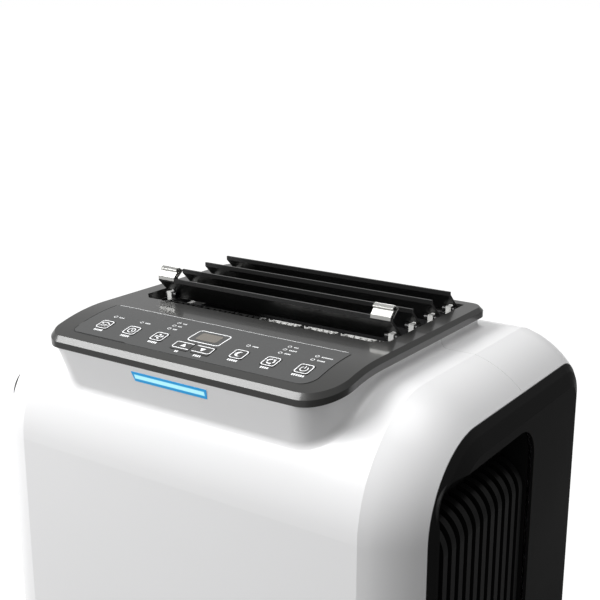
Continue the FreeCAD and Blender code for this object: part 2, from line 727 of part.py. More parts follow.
def vane_x(k):
    return (k - (VANE_COUNT - 1) / 2) * VANE_PITCH


def vane(k):
    """Upright blade on a lower pin, stepped at the back for the white link strip."""
    x = vane_x(k)
    y0 = VANE_PIVOT_Y - 3.0
    y1 = VANE_PIVOT_Y + VANE_LEVER + 1.5
    step_y = y1 - 6.0
    points = [
        (x - VANE_THICK / 2, y0, VANE_LOW_Z), (x - VANE_THICK / 2, y0, VANE_TOP_Z - 4),
        (x - VANE_THICK / 2, y0 + 4, VANE_TOP_Z), (x - VANE_THICK / 2, step_y, VANE_TOP_Z),
        (x - VANE_THICK / 2, step_y, VANE_STEP_Z), (x - VANE_THICK / 2, y1, VANE_STEP_Z),
        (x - VANE_THICK / 2, y1, VANE_LOW_Z),
    ]
    blade = prism(points, V(VANE_THICK, 0, 0))
    pin = cylinder(1.5, 5.6, (x, VANE_PIVOT_Y, VANE_LOW_Z - 3.6), Z_AXIS)
    collar = cylinder(2.2, VANE_TOP_Z - VANE_LOW_Z - 4, (x, VANE_PIVOT_Y, VANE_LOW_Z), Z_AXIS)
    link_pin = cylinder(1.0, 4.0, (x, VANE_PIVOT_Y + VANE_LEVER, VANE_STEP_Z - 1), Z_AXIS)
    return one(blade.multiFuse([pin, collar, link_pin]))


def vane_link():
    """White toothed strip that ties the seven vanes together."""
    y = VANE_PIVOT_Y + VANE_LEVER
    end = vane_x(VANE_COUNT - 1) + 3.0
    z = VANE_STEP_Z + 0.4
    strip = box(-end, end, y - 2.4, y + 1.7, z, z + 1.8)
    holes = []
    for k in range(VANE_COUNT):
        holes.append(cylinder(1.0 + RUNNING, 6, (vane_x(k), y, z - 2), Z_AXIS))
    slots = []
    for k in range(VANE_COUNT - 1):
        for step, half in ((1, 2.4), (2, 1.0), (3, 1.0), (4, 1.0), (5, 2.4)):
            x = vane_x(k) + step * VANE_PITCH / 6
            slots.append(box(x - half, x + half, y - 3, y + 0.7, z - 1, z + 3))
    return one(strip.cut(holes + slots))


def outlet_duct():
    """Funnel from the upper blower to the deck, with the vane rail across its front."""
    def ring(grow, half, y0, y1, z):
        points = [(-half - grow, y0 - grow), (half + grow, y0 - grow), (half + grow, y1 + grow),
                  (-half - grow, y1 + grow)]
        return Part.makePolygon([V(x, y, z) for x, y in points + points[:1]])

    def funnel(grow, low_z):
        low = ring(grow, DUCT_LOW_HALF, -48, 66, low_z)
        neck = ring(grow, OPENING_HALF, OPENING_FRONT_Y, OPENING_REAR_Y, DUCT_NECK_Z)
        return Part.makeLoft([low, neck], True, True)

    outer = funnel(DUCT_WALL, DUCT_LOW_Z)
    inner = funnel(0, DUCT_LOW_Z)
    x = OPENING_HALF
    y0 = OPENING_FRONT_Y
    y1 = OPENING_REAR_Y
    w = DUCT_WALL
    shaft = box(-x - w, x + w, y0 - w, y1 + w, DUCT_NECK_Z, DUCT_TOP_Z)
    hollow = box(-x, x, y0, y1, DUCT_NECK_Z, DUCT_TOP_Z)
    rail = box(-x, x, y0, VANE_PIVOT_Y + 5, VANE_LOW_Z - 4.4, VANE_LOW_Z - 0.4)
    body = outer.fuse(shaft).cut(inner.fuse(hollow)).fuse(rail)
    holes = []
    for k in range(VANE_COUNT):
        holes.append(cylinder(1.5 + RUNNING, 10, (vane_x(k), VANE_PIVOT_Y, VANE_LOW_Z - 7), Z_AXIS))
    pivot = louvre_pivot(0)
    holes.append(cylinder(2.6, 10, (x - 2, pivot.y, MOTOR_CRANK_Z), X_AXIS))
    return one(body.cut(holes))


# ---- rear, base, inside -----------------------------------------------------------------------

def rear_panel():
    """Rear panel: window for the filter cassette, slots for the condenser, exhaust hole."""
    y0 = REAR_FACE_Y - WALL + 0.4
    body = box(-REAR_HALF + 0.4, REAR_HALF - 0.4, y0, REAR_FACE_Y, REAR_LOW_Z + 0.4, REAR_HIGH_Z - 0.4)
    cuts = [
        box(-FILTER_HALF, FILTER_HALF, 120, 160, FILTER_LOW_Z, FILTER_HIGH_Z),
        cylinder(EXHAUST_RADIUS + 3.2, 30, (0, 130, EXHAUST_Z), Y_AXIS),
        cylinder(9, 30, (-118, 130, 360), Y_AXIS),
    ]
    for k in range(11):
        z = 100 + k * 10.0
        for side in (-1, 1):
            cuts.append(box(min(side * 6, side * 124), max(side * 6, side * 124), 140, 160, z, z + 4.5))
    gland = cylinder(9, 8, (-118, REAR_FACE_Y - 7.6, 360), Y_AXIS)
    gland = gland.cut(cylinder(4.2, 20, (-118, 140, 360), Y_AXIS))
    return one(body.cut(cuts).fuse(gland))


def filter_cassette():
    """Pull-out intake grille with its dust filter mesh behind it."""
    x = FILTER_HALF - 0.5
    z0 = FILTER_LOW_Z + 0.5
    z1 = FILTER_HIGH_Z - 0.5
    frame = box(-x, x, 138, REAR_FACE_Y, z0, z1).cut(box(-x + 6, x - 6, 130, 160, z0 + 6, z1 - 6))
    bars = []
    count = 14
    step = (z1 - z0 - 12) / count
    for k in range(1, count):
        z = z0 + 6 + k * step
        bars.append(box(-x + 5, x - 5, 145, REAR_FACE_Y, z - 1.6, z + 1.6))
    for px in (-60, 0, 60):
        bars.append(box(px - 1.5, px + 1.5, 143, 147, z0 + 5, z1 - 5))
    mesh = box(-x + 5, x - 5, 139.5, 140.3, z0 + 5, z1 - 5)
    grip = box(-22, 22, 146, REAR_FACE_Y, z1 - 16, z1 - 5)
    grip = grip.cut(box(-18, 18, 148, 160, z1 - 14, z1 - 8))
    return one(frame.multiFuse(bars + [mesh, grip]))


def exhaust_collar():
    y0 = 128.4
    tube = cylinder(EXHAUST_RADIUS + 2.8, 151.6 - y0, (0, y0, EXHAUST_Z), Y_AXIS)
    flange = cylinder(EXHAUST_RADIUS + 6, 2.0, (0, 146.4, EXHAUST_Z), Y_AXIS)
    bore = cylinder(EXHAUST_RADIUS, 40, (0, y0 - 5, EXHAUST_Z), Y_AXIS)
    return one(tube.fuse(flange).cut(bore))


def base_pan():
    """Tray that carries everything, with a socket for each caster's stem."""
    tray = envelope(WALL + 0.4).common(box(-220, 220, -200, 200, BOTTOM_Z, BOTTOM_Z + 28))
    inside = envelope(WALL + 3.4).common(box(-220, 220, -200, 200, BOTTOM_Z + 3, BOTTOM_Z + 40))
    sockets = []
    bores = []
    for x in (-CASTER_X, CASTER_X):
        for y in (-CASTER_Y, CASTER_Y):
            sockets.append(cylinder(10, 18, (x, y, BOTTOM_Z), Z_AXIS))
            bores.append(cylinder(4.0 + RUNNING, 15, (x, y, BOTTOM_Z - 1), Z_AXIS))
    return one(tray.cut(inside).multiFuse(sockets).cut(bores))


def caster_fork(x, y):
    wheel_y = y + CASTER_TRAIL
    z = WHEEL_RADIUS
    stem = cylinder(4.0, 16, (x, y, BOTTOM_Z - 3), Z_AXIS)
    collar = cylinder(9, 3.6, (x, y, BOTTOM_Z - 4.2), Z_AXIS)
    roof = plate(x - 12.6, x + 12.6, y - 10, wheel_y + 10, 37.4, 41.2, 8, 8, 8)
    legs = []
    for side in (-1, 1):
        x0 = x + side * 11.1 - 1.4
        leg = prism([(x0, y - 4, 40), (x0, wheel_y + 9, 40), (x0, wheel_y + 5, z - 5),
                     (x0, wheel_y - 5, z - 5)], V(2.8, 0, 0))
        legs.append(leg)
    axle = cylinder(2.5, 24, (x - 12, wheel_y, z), X_AXIS)
    return one(stem.multiFuse([collar, roof, axle] + legs))


def caster_wheel(x, y):
    wheel_y = y + CASTER_TRAIL
    tyre = cylinder(WHEEL_RADIUS, 2 * WHEEL_HALF, (x - WHEEL_HALF, wheel_y, WHEEL_RADIUS), X_AXIS)
    rims = [e for e in tyre.Edges if e.Length > 50 and e.Closed]
    tyre = tyre.makeFillet(2.5, rims)
    cuts = [cylinder(2.5 + RUNNING, 40, (x - 20, wheel_y, WHEEL_RADIUS), X_AXIS)]
    for side in (-1, 1):
        ring = cylinder(12, 3, (x + side * 8.5 - 1.5, wheel_y, WHEEL_RADIUS), X_AXIS)
        hub = cylinder(5, 3, (x + side * 8.5 - 1.5, wheel_y, WHEEL_RADIUS), X_AXIS)
        cuts.append(ring.cut(hub))
    return one(tyre.cut(cuts))


def coil(y0, y1, z0, z1):
    """Finned heat exchanger block with its return bends along one end."""
    core = box(-149, 149, y0, y1, z0, z1)
    plates = [box(side * 150 - 1.5, side * 150 + 1.5, y0 - 1, y1 + 1, z0, z1) for side in (-1, 1)]
    slots = []
    for k in range(24):
        x = -138 + k * 12
        slots.append(box(x - 1.5, x + 1.5, y1 - 3, y1 + 5, z0 + 4, z1 - 4))
    bends = []
    count = int((z1 - z0 - 20) // 25)
    for k in range(count):
        bends.append(Part.makeTorus(8, 3, V(151.5, (y0 + y1) / 2, z0 + 18 + k * 25), X_AXIS))
    whole = core.cut(slots).multiFuse(plates + bends)
    return one(whole.common(box(-155, 162, y0 - 2, y1 + 2, z0, z1)))


def compressor():
    x, y = COMPRESSOR_AT
    body = cylinder(52, 120, (x, y, 82), Z_AXIS)
    dome = Part.makeSphere(52, V(x, y, 202)).common(box(x - 60, x + 60, y - 60, y + 60, 202, 232))
    foot = plate(x - 58, x + 58, y - 58, y + 58, BOTTOM_Z + 9, BOTTOM_Z + 12, 12, 12, 12)
    skirt = cylinder(46, 30, (x, y, BOTTOM_Z + 10), Z_AXIS)
    rubbers = []
    for sx in (-48, 48):
        for sy in (-48, 48):
            rubbers.append(cylinder(7, 8.8, (x + sx, y + sy, BOTTOM_Z + 3.2), Z_AXIS))
    return one(body.multiFuse([dome, foot, skirt] + rubbers))


def blower_wheel(axis, radius, half, shaft_end):
    """Drum of straight blades between two rings, on a centre disc and a through shaft."""
    y, z = axis
    rings = []
    for x0 in (-half, half - 4):
        ring = cylinder(radius, 4, (x0, y, z), X_AXIS).cut(cylinder(radius - 9, 4, (x0, y, z), X_AXIS))
        rings.append(ring)
    disc = cylinder(radius - 4, 3, (-1.5, y, z), X_AXIS)
    hub = cylinder(11, 26, (-13, y, z), X_AXIS)
    blade = box(-half + 1, half - 1, y - 0.8, y + 0.8, z + radius - 8, z + radius - 2)
    blades = [blade.rotated(V(0, y, z), X_AXIS, k * 15) for k in range(24)]
    shaft = cylinder(SHAFT_RADIUS, shaft_end + half - 8, (-half + 8, y, z), X_AXIS)
    return one(rings[0].multiFuse([rings[1], disc, hub, shaft] + blades))


def upper_blower_housing():
    y, z = UPPER_AXIS
    w = 2.0
    outer = cylinder(76, 160, (-80, y, z), X_AXIS).fuse(box(-80, 80, -50, 68, z, DUCT_LOW_Z - 0.4))
    inner = cylinder(76 - w, 156, (-78, y, z), X_AXIS)
    inner = inner.fuse(box(-78, 78, -50 + w, 68 - w, z, DUCT_LOW_Z + 5))
    inlets = cylinder(50, 200, (-100, y, z), X_AXIS)
    return one(outer.cut([inner, inlets]))


def lower_blower_housing():
    y, z = LOWER_AXIS
    w = 2.0
    outer = cylinder(84, 92, (-46, y, z), X_AXIS).fuse(box(-46, 46, y, 108, z, z + 84))
    duct = box(-74, 74, 106, 128, EXHAUST_Z - 74, EXHAUST_Z + 74)
    inner = cylinder(84 - w, 88, (-44, y, z), X_AXIS).fuse(box(-44, 44, y, 110, z + w, z + 84 - w))
    hollow = box(-72, 72, 108, 126, EXHAUST_Z - 72, EXHAUST_Z + 72)
    mouth = cylinder(EXHAUST_RADIUS, 10, (0, 120, EXHAUST_Z), Y_AXIS)
    inlets = cylinder(52, 200, (-100, y, z), X_AXIS)
    return one(outer.fuse(duct).cut([inner, hollow, mouth, inlets]))


def fan_motors():
    motors = []
    for (y, z), start in ((UPPER_AXIS, 84.0), (LOWER_AXIS, 50.0)):
        can = cylinder(34, 46, (start + 6, y, z), X_AXIS)
        nose = cylinder(14, 8, (start, y, z), X_AXIS)
        straps = [box(start + 20, start + 24, y + s * 40 - 6, y + s * 40 + 6, z - 40, z + 40)
                  for s in (-1, 1)]
        tie = box(start + 20, start + 24, y - 46, y + 46, z - 44, z - 36)
        bridge = box(start + 20, start + 24, y - 36, y + 36, z - 6, z + 6)
        bore = cylinder(SHAFT_RADIUS + RUNNING, 34, (start - 1, y, z), X_AXIS)
        motors.append(one(can.multiFuse([nose, tie, bridge] + straps).cut(bore)))
    return Part.makeCompound(motors)


def divider_shelf():
    """Shelf between the two halves, with the drip tray under the evaporator."""
    shelf = box(-176, 176, -138, 80, 368, 371)
    tray = box(-160, 166, 80, 132, 372, 388).cut(box(-157, 163, 83, 129, 375, 400))
    lip = box(-160, 166, 78, 84, 368, 375)
    return one(shelf.fuse([lip, tray]))


def pipe(points, radius):
    """Round pipe through the points, with a ball at each turn."""
    pieces = []
    for start, end in zip(points, points[1:]):
        a = V(*start)
        b = V(*end)
        pieces.append(Part.makeCylinder(radius, (b - a).Length, a, b - a))
    for p in points[1:-1]:
        pieces.append(Part.makeSphere(radius, V(*p)))
    return one(fuse_all(pieces))


def refrigerant_pipes():
    x, y = COMPRESSOR_AT
    low = [(x, y, 232.2), (x, y, 258), (-160, y, 258), (-160, 110, 258), (-160, 110, 190),
           (-151.8, 110, 190)]
    high = [(x + 26, y, 232.2), (x + 26, y, 350), (-168, y, 350), (-168, 108, 350),
            (-168, 108, 470), (-151.8, 108, 470)]
    return Part.makeCompound([pipe(low, 4.0), pipe(high, 5.0)])


def screws():
    """Countersunk screws that hold the rear panel, and pan screws under the base."""
    pieces = []
    for x in (-REAR_HALF + 3, REAR_HALF - 3):
        for z in (92, 220, 375, 566):
            shank = cylinder(1.5, 7.2, (x, REAR_FACE_Y - 7, z), Y_AXIS)
            head = cylinder(2.4, 0.5, (x, REAR_FACE_Y, z), Y_AXIS)
            pieces.append(one(shank.fuse(head)))
    return pieces


def export(node, shape):
    shape.exportStep("parts/%s.step" % node)
    size = shape.optimalBoundingBox(False)
    print("%-22s %8.1f cm3 solids %d valid %s  x %.1f %.1f  y %.1f %.1f  z %.1f %.1f" % (
        node, shape.Volume / 1000, len(shape.Solids), shape.isValid(), size.XMin, size.XMax,
        size.YMin, size.YMax, size.ZMin, size.ZMax))


os.makedirs("parts", exist_ok=True)

shell = casing_shell()
front_cover, rear_cover = white_covers(shell)
panel = side_panel(shell)
grille = side_grille()
fasteners = screws()
panel_back = rear_panel().cut(fasteners)
rear_cover = rear_cover.cut(fasteners)

nodes = {
    "front_cover": front_cover,
    "rear_cover": rear_cover,
    "right_side_panel": panel,
    "left_side_panel": mirror_x(panel),
    "right_grille": grille,
    "left_grille": mirror_x(grille),
    "rear_panel": panel_back,
    "base_pan": base_pan(),
    "control_deck": control_deck(),
    "control_overlay": control_overlay(),
    "display_window": display_window(),
    "control_board": control_board(),
    "light_bar": light_bar(),
    "outlet_duct": outlet_duct(),
    "louvre_bushes": louvre_bushes(),
    "louvre_clips": louvre_clips(),
    "louvre_link": louvre_link(),
    "swing_crank": swing_crank(),
    "swing_motor": swing_motor(),
    "vane_link": vane_link(),
    "filter_cassette": filter_cassette(),
    "exhaust_collar": exhaust_collar(),
    "evaporator_coil": coil(94, 124, 395, 555),
    "condenser_coil": coil(94, 124, 78, 206),
    "compressor": compressor(),
    "upper_blower_housing": upper_blower_housing(),
    "lower_blower_housing": lower_blower_housing(),
    "upper_blower_wheel": blower_wheel(UPPER_AXIS, 62, 66, 116),
    "lower_blower_wheel": blower_wheel(LOWER_AXIS, 66, 38, 80),
    "fan_motors": fan_motors(),
    "divider_shelf": divider_shelf(),
    "refrigerant_pipes": refrigerant_pipes(),
    "screws": Part.makeCompound(fasteners),
}
for name, (key_x, key_y, key_width) in KEYS.items():
    nodes[name] = key_cap(key_x, key_y, key_width)
for index in range(LOUVRE_COUNT):
    nodes["louvre_%d" % (index + 1)] = louvre(index)
for index in range(VANE_COUNT):
    nodes["vane_%d" % (index + 1)] = vane(index)
corners = {"front_left": (-1, -1), "front_right": (1, -1), "rear_left": (-1, 1), "rear_right": (1, 1)}
for corner, (sx, sy) in corners.items():
    nodes["caster_fork_" + corner] = caster_fork(sx * CASTER_X, sy * CASTER_Y)
    nodes["caster_wheel_" + corner] = caster_wheel(sx * CASTER_X, sy * CASTER_Y)

for node, shape in nodes.items():
    export(node, shape)
print("%d nodes" % len(nodes))
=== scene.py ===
# Portable air conditioner and dehumidifier: white moulded casing, black side intakes,
# charcoal control deck with printed keys, and four tilting louvres over the top outlet.
import bpy
import bmesh
import math
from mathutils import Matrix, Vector


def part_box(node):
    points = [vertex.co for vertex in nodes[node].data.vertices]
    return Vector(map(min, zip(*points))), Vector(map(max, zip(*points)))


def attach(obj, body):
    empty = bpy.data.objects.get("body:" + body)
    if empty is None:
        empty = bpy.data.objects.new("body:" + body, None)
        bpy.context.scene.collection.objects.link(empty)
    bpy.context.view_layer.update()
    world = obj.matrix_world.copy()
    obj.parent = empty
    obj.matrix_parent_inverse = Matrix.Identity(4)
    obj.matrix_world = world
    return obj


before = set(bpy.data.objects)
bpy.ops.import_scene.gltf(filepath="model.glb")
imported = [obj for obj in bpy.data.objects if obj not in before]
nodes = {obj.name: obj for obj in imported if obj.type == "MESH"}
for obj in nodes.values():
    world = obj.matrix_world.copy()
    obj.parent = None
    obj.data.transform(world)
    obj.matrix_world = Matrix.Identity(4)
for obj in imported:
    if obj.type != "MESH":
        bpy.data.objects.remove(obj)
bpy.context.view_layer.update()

# ---- Camera: a short telephoto from the front right, a little above the deck.
# It looks down on the top third of the unit, so most of the casing runs out of the picture.
camera_data = bpy.data.cameras.new("camera")
camera_data.lens = 64.83
camera_data.sensor_width = 36.0
camera_data.clip_end = 1000.0
camera = bpy.data.objects.new("camera", camera_data)
LOOK_DOWN = 15.26
TURN_LEFT = 34.65
camera.location = (0.4982, -0.7053, 0.8993)
camera.rotation_euler = (math.radians(90 - LOOK_DOWN), 0.0, math.radians(TURN_LEFT))
bpy.context.scene.collection.objects.link(camera)
bpy.context.scene.camera = camera

# ---- Studio: a dim sky that is brighter to the left, with a white haze along the horizon that
# ends on the right side. One large soft panel stands high at the front left, and a second hangs
# over the right of the unit.
bpy.context.scene.view_settings.view_transform = "Standard"
sky = bpy.data.worlds.new("studio")
bpy.context.scene.world = sky
sky.use_nodes = True
sky_tree = sky.node_tree
sky_way = sky_tree.nodes.new("ShaderNodeTexCoord")
sky_parts = sky_tree.nodes.new("ShaderNodeSeparateXYZ")
sky_tree.links.new(sky_way.outputs["Generated"], sky_parts.inputs["Vector"])


def fade(tree, source, start, end, low=0.0, high=1.0):
    """Runs from low to high while the source value goes from start to end."""
    node = tree.nodes.new("ShaderNodeMapRange")
    node.inputs["From Min"].default_value = start
    node.inputs["From Max"].default_value = end
    node.inputs["To Min"].default_value = low
    node.inputs["To Max"].default_value = high
    tree.links.new(source, node.inputs["Value"])
    return node.outputs["Result"]


def sums(tree, operation, first, second):
    """One sum on two values, either of which may be a plain number."""
    node = tree.nodes.new("ShaderNodeMath")
    node.operation = operation
    for socket, value in zip(node.inputs, (first, second)):
        if isinstance(value, float):
            socket.default_value = value
        else:
            tree.links.new(value, socket)
    return node.outputs[0]


sky_side = fade(sky_tree, sky_parts.outputs["X"], -0.9, 0.7, 0.62, 0.26)
sky_haze = fade(sky_tree, sky_parts.outputs["Z"], 0.02, 0.10, 1.0, 0.0)
haze_end = fade(sky_tree, sky_parts.outputs["X"], -0.15, 0.25, 1.0, 0.0)
left_haze = sums(sky_tree, "MULTIPLY", sky_haze, haze_end)
sky_level = sums(sky_tree, "MAXIMUM", sky_side, left_haze)
sky_tree.links.new(sky_level, sky_tree.nodes["Background"].inputs["Strength"])
sky_tree.nodes["Background"].inputs["Color"].default_value = (1.0, 1.0, 1.0, 1.0)


def soft_panel(name, place, target, size, power):
    data = bpy.data.lights.new(name, "AREA")
    data.shape = "RECTANGLE"
    data.size = size[0]
    data.size_y = size[1]
    data.energy = power
    lamp = bpy.data.objects.new(name, data)
    lamp.location = place
    lamp.rotation_euler = (Vector(target) - Vector(place)).to_track_quat("-Z", "Y").to_euler()
    bpy.context.scene.collection.objects.link(lamp)


top_of_unit = (0.0, -0.05, 0.6)
soft_panel("panel_front_left", (-1.25, -1.25, 2.08), top_of_unit, (1.4, 1.1), 56.0)
soft_panel("panel_above", (0.3, 0.1, 2.3), top_of_unit, (1.2, 1.0), 12.0)

# ---- Floor: a very wide matt sheet, glowing white behind the unit and dimmer in front of it.
# Its glow also fades out to the right, so the black side panel has nothing bright to mirror.
floor_mesh = bpy.data.meshes.new("floor")
far = 300.0
floor_corners = [(-far, -far, 0), (far, -far, 0), (far, far, 0), (-far, far, 0)]
floor_mesh.from_pydata(floor_corners, [], [(0, 1, 2, 3)])
floor = bpy.data.objects.new("floor", floor_mesh)
bpy.context.scene.collection.objects.link(floor)
floor_paint = bpy.data.materials.new("floor_paint")
floor_paint.use_nodes = True
floor_tree = floor_paint.node_tree
floor_shader = floor_tree.nodes["Principled BSDF"]
floor_shader.inputs["Base Color"].default_value = (0.12, 0.12, 0.12, 1)
floor_shader.inputs["Roughness"].default_value = 0.95
floor_shader.inputs["Specular IOR Level"].default_value = 0.0
floor_shader.inputs["Emission Color"].default_value = (1, 1, 1, 1)
floor_place = floor_tree.nodes.new("ShaderNodeTexCoord")
floor_reach = floor_tree.nodes.new("ShaderNodeVectorMath")
floor_reach.operation = "DOT_PRODUCT"
floor_reach.inputs[1].default_value = (-0.57, 0.82, 0.0)
floor_tree.links.new(floor_place.outputs["Object"], floor_reach.inputs[0])
floor_glow = fade(floor_tree, floor_reach.outputs["Value"], 0.25, 0.60, 0.34, 1.0)
floor_parts = floor_tree.nodes.new("ShaderNodeSeparateXYZ")
floor_tree.links.new(floor_place.outputs["Object"], floor_parts.inputs["Vector"])
floor_right = fade(floor_tree, floor_parts.outputs["X"], 0.06, 0.40, 1.0, 0.12)
floor_level = sums(floor_tree, "MULTIPLY", floor_glow, floor_right)
floor_tree.links.new(floor_level, floor_shader.inputs["Emission Strength"])
floor_mesh.materials.append(floor_paint)


# ---- White casing: two glossy ABS mouldings that meet in a fine seam across the top band.
# The finish is polished tool steel's, with the faint waviness that thin walls take on cooling.
def plastic(name, colour, roughness, grain_size, grain_depth, mottling=0.03, coat=0.0, ior=1.5):
    """Moulded plastic: a fine grain in the surface, and a little drift in shade and gloss."""
    material = bpy.data.materials.new(name)
    material.use_nodes = True
    tree = material.node_tree
    shader = tree.nodes["Principled BSDF"]
    shader.inputs["Coat Weight"].default_value = coat
    shader.inputs["Coat Roughness"].default_value = 0.08
    shader.inputs["IOR"].default_value = ior
    place = tree.nodes.new("ShaderNodeTexCoord")
    drift = tree.nodes.new("ShaderNodeTexNoise")
    drift.inputs["Scale"].default_value = 9.0
    drift.inputs["Detail"].default_value = 3.0
    tree.links.new(place.outputs["Object"], drift.inputs["Vector"])
    shade = tree.nodes.new("ShaderNodeMix")
    shade.data_type = "RGBA"
    darker = [c * (1 - mottling) for c in colour]
    lighter = [min(1.0, c * (1 + mottling)) for c in colour]
    shade.inputs["A"].default_value = (*darker, 1)
    shade.inputs["B"].default_value = (*lighter, 1)
    tree.links.new(drift.outputs["Fac"], shade.inputs["Factor"])
    tree.links.new(shade.outputs["Result"], shader.inputs["Base Color"])
    gloss = fade(tree, drift.outputs["Fac"], 0.0, 1.0, roughness * 0.85, roughness * 1.15)
    tree.links.new(gloss, shader.inputs["Roughness"])
    grain = tree.nodes.new("ShaderNodeTexNoise")
    grain.inputs["Scale"].default_value = 1.0 / grain_size
    grain.inputs["Detail"].default_value = 2.0
    tree.links.new(place.outputs["Object"], grain.inputs["Vector"])
    bump = tree.nodes.new("ShaderNodeBump")
    bump.inputs["Strength"].default_value = 1.0
    bump.inputs["Distance"].default_value = grain_depth
    tree.links.new(grain.outputs["Fac"], bump.inputs["Height"])
    tree.links.new(bump.outputs["Normal"], shader.inputs["Normal"])
    return material


def paint(material, *names):
    """Puts the material on CAD nodes, in place of the plain one they come with."""
    for name in names:
        part = nodes[name]
        part.data.materials.clear()
        part.data.materials.append(material)
        part.data.polygons.foreach_set("material_index", [0] * len(part.data.polygons))


white_abs = plastic("white_abs", (0.80, 0.80, 0.805), 0.34, 0.05, 0.00006, 0.012, coat=0.08)
paint(white_abs, "front_cover", "rear_cover")

# ---- Control deck: one charcoal moulding with a satin spark-eroded face. It clips over the
# podium, slopes to the front and carries the overlay, the keys and the louvres' opening.
DECK_TOP = 0.660
BEND_Y = -0.080
BEND_RADIUS = 0.180
charcoal = plastic("charcoal", (0.030, 0.030, 0.029), 0.30, 0.0006, 0.00001, 0.05, coat=0.45, ior=1.45)
paint(charcoal, "control_deck")


def deck_height(y):
    """Height of the deck's face at y: level at the back, then rolling down to the front."""
    if y > BEND_Y:
        return DECK_TOP
    return DECK_TOP - BEND_RADIUS + math.sqrt(BEND_RADIUS ** 2 - (y - BEND_Y) ** 2)


def deck_slope(y):
    return math.asin(max(0.0, (BEND_Y - y) / BEND_RADIUS))


# ---- Overlay: a matt polycarbonate film stuck in a shallow seat on the slope. Its marks are
# silk-screened in pale grey: a line along the back edge, key names as plain dashes, lamp rings.
FILM_PROUD = 0.0004
INK_AND_SHADE_THICK = 0.00006
film = plastic("film", (0.066, 0.067, 0.067), 0.42, 0.0004, 0.00001, 0.02)
paint(film, "control_overlay")
ink = plastic("ink", (0.88, 0.89, 0.90), 0.55, 0.0008, 0.000005, 0.03)


def on_film(u, v, lift=0.0):
    """Point u to the right and v to the back on the film's curved face."""
    return Vector((u, v, deck_height(v) + FILM_PROUD + lift))


def stroke(points, width, closed=False):
    """Flat ribbon of that width along 2D points, as a list of four-cornered patches."""
    ring = [Vector(p) for p in points]
    if closed:
        ring.append(ring[0])
    sides = []
    for k, p in enumerate(ring):
        before = ring[k - 1] if k else (ring[-2] if closed else p)
        after = ring[k + 1] if k + 1 < len(ring) else (ring[1] if closed else p)
        way = (after - before).normalized()
        cut = Vector((-way.y, way.x)) * width / 2
        sides.append((p + cut, p - cut))
    return [(a[0], b[0], b[1], a[1]) for a, b in zip(sides, sides[1:])]


def arc(cx, cy, radius, start, end, steps=14):
    turn = [math.radians(start + (end - start) * k / steps) for k in range(steps + 1)]
    return [(cx + radius * math.cos(a), cy + radius * math.sin(a)) for a in turn]


def soft_frame(width, height, corner):
    """Outline of a rectangle with round corners, about its middle."""
    x = width / 2 - corner
    y = height / 2 - corner
    points = []
    for cx, cy, start in ((x, -y, -90), (x, y, 0), (-x, y, 90), (-x, -y, 180)):
        points += arc(cx, cy, corner, start, start + 90, 5)
    return points


def disc(cx, cy, radius):
    return [tuple(arc(cx, cy, radius, 0, 360, 16)[:-1])]


def print_ink_and_shade(name, patches, place, body, material):
    """Thin raised layer from 2D patches in the given material: printed ink, and for the film's edge a
    line of painted shade. place maps (u, v, lift) to the row frame.
    """
    mesh = bpy.data.meshes.new(name)
    form = bmesh.new()
    for patch in patches:
        low = [form.verts.new(place(p[0], p[1], -INK_AND_SHADE_THICK)) for p in patch]
        high = [form.verts.new(place(p[0], p[1], INK_AND_SHADE_THICK)) for p in patch]
        count = len(patch)
        form.faces.new(high)
        form.faces.new(low[::-1])
        for k in range(count):
            n = (k + 1) % count
            form.faces.new((low[k], low[n], high[n], high[k]))
    bmesh.ops.recalc_face_normals(form, faces=form.faces)
    form.to_mesh(mesh)
    form.free()
    mesh.materials.append(material)
    piece = bpy.data.objects.new(name, mesh)
    bpy.context.scene.collection.objects.link(piece)
    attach(piece, body)


def name_dashes(u, v, width, height, count):
    """Stand-in for a printed word: short upright dashes side by side."""
    step = width / count
    patches = []
    for k in range(count):
        x = u + (k + 0.5) * step
        half = step * 0.34
        patches.append(((x - half, v - height / 2), (x + half, v - height / 2),
                        (x + half, v + height / 2), (x - half, v + height / 2)))
    return patches


# Each lamp's place in millimetres, and how many dashes its name has.
LAMPS = [(-95.5, -105.2, 4), (-67.6, -105.2, 4), (-39.0, -93.4, 3), (-39.0, -99.4, 3),
         (-39.0, -105.4, 3), (37.9, -105.4, 4), (66.5, -93.6, 3), (66.5, -99.6, 5),
         (66.5, -105.6, 4), (94.5, -99.4, 7), (94.5, -105.4, 5)]
RING_RADIUS = 0.00145
FINE_LINE = 0.0004
LAMP_NAME_SHIFT = 0.0036
LAMP_LETTER = 0.00135
LAMP_NAME_HEIGHT = 0.0014
lamp_marks = []
for lamp_x, lamp_y, letters in LAMPS:
    x = lamp_x / 1000
    y = lamp_y / 1000
    lamp_marks += stroke(arc(x, y, RING_RADIUS, 0, 360, 18), FINE_LINE)
    lamp_marks += name_dashes(x + LAMP_NAME_SHIFT, y, letters * LAMP_LETTER, LAMP_NAME_HEIGHT, letters)
print_ink_and_shade("lamp_marks", lamp_marks, on_film, "root", ink)

film_low, film_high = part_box("control_overlay")
back_y = film_high.y - 0.0006
back_line = stroke([(film_low.x + 0.003, back_y), (film_high.x - 0.003, back_y)], FINE_LINE)
print_ink_and_shade("overlay_back_line", back_line, on_film, "root", ink)
